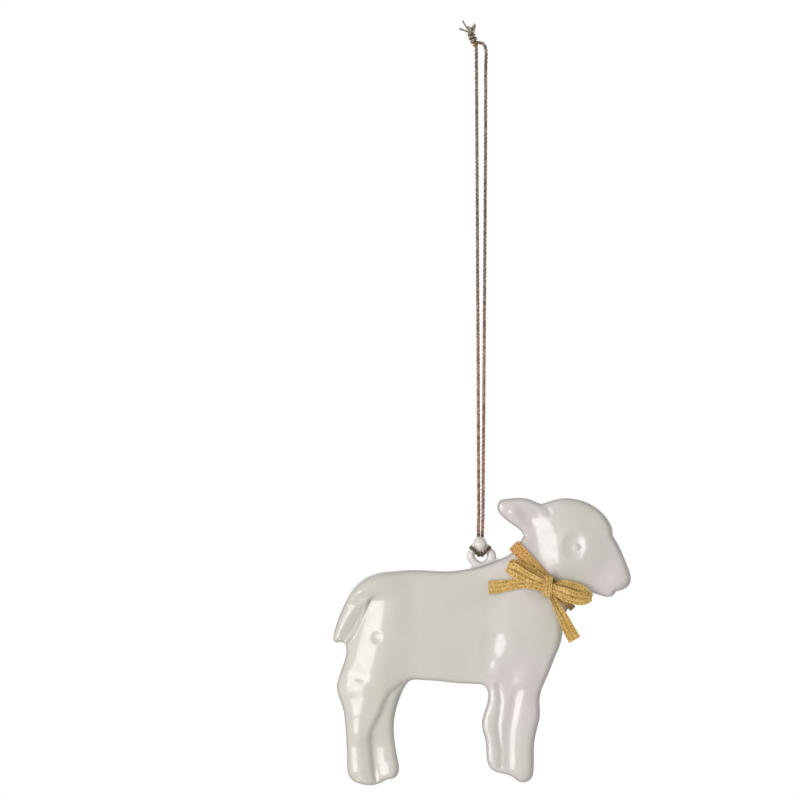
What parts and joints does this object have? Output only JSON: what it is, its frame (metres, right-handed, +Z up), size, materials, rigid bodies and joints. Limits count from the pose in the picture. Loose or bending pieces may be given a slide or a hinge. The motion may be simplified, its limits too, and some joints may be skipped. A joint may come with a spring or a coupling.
{
  "type": "hanging lamb ornament",
  "caption": "Flat, hollow, pearl-enamelled metal lamb that hangs from a knotted cord loop and wears a ribbon bow.",
  "frame": {"origin": "hang point, under the bend at the top of the cord loop, in the plane of the lamb's seam", "axes": "+Z up along the hanging cord, +X towards the lamb's nose, -Y out of the near side with the bow"},
  "size_m": [0.0774, 0.0132, 0.1979],
  "materials": {
    "enamel": "glossy pearl enamel on pressed steel",
    "solder": "dull tin solder",
    "eyelet_metal": "pearl enamel over steel",
    "ribbon": "knitted metallic gold ribbon",
    "cord": "twisted metallic thread, taupe to copper"
  },
  "bodies": {
    "cord_loop": {"cord_strand_left": "cord", "cord_strand_right": "cord", "cord_knot": "cord", "cord_frayed_ends": "cord"},
    "upper_neck": {"cord_neck_upper": "cord"},
    "lower_neck": {"cord_neck_lower": "cord"},
    "lamb": {"near_half_shell": "enamel", "far_half_shell": "enamel", "seam_solder": "solder", "hanging_eyelet": "eyelet_metal", "eyelet_solder": "solder", "ribbon_neck_band": "ribbon", "bow_knot": "ribbon", "bow_loop_rear": "ribbon", "bow_loop_front": "ribbon", "bow_tail_rear": "ribbon", "bow_tail_front": "ribbon", "cord_hitch": "cord"}
  },
  "joints": [
    {"name": "cord_twist", "type": "hinge", "parent": "cord_loop", "child": "upper_neck", "pos_m": [-0.00015, 0, -0.12255], "axis": [0, 0, 1], "range_deg": [-180, 180]},
    {"name": "head_rock", "type": "hinge", "parent": "upper_neck", "child": "lower_neck", "pos_m": [-0.00015, 0, -0.12432], "axis": [0, 1, 0], "range_deg": [-28, 40]},
    {"name": "face_tip", "type": "hinge", "parent": "lower_neck", "child": "lamb", "pos_m": [-0.00015, 0, -0.126], "axis": [1, 0, 0], "range_deg": [-60, 60]}
  ]
}
